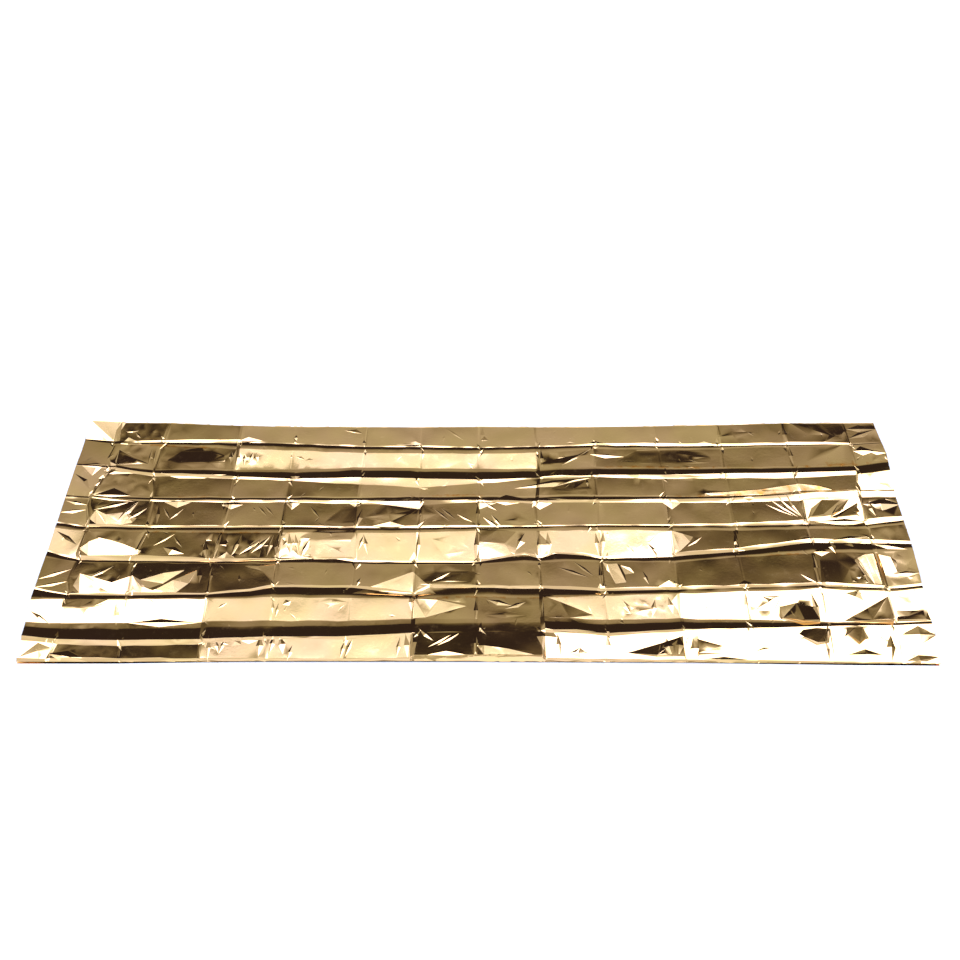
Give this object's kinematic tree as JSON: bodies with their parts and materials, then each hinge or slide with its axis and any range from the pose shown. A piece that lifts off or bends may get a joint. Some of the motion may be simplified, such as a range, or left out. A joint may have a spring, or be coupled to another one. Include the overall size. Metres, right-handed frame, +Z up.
{
  "type": "emergency foil blanket",
  "caption": "Thin gold metallised rescue sheet, folded once lengthwise and laid out flat, with the creases of its packed folds.",
  "frame": {"origin": "middle of the sheet's footprint, on the floor it lies on", "axes": "+X along the laid length, +Y from the free edges towards the back fold, +Z up"},
  "size_m": [2.1, 0.8, 0.0196],
  "materials": {
    "gold_metallised_film": "mirror-bright aluminium on clear polyester film, tinted gold, crumpled"
  },
  "bodies": {
    "root": {"foil_sheet": "gold_metallised_film"}
  },
  "joints": []
}
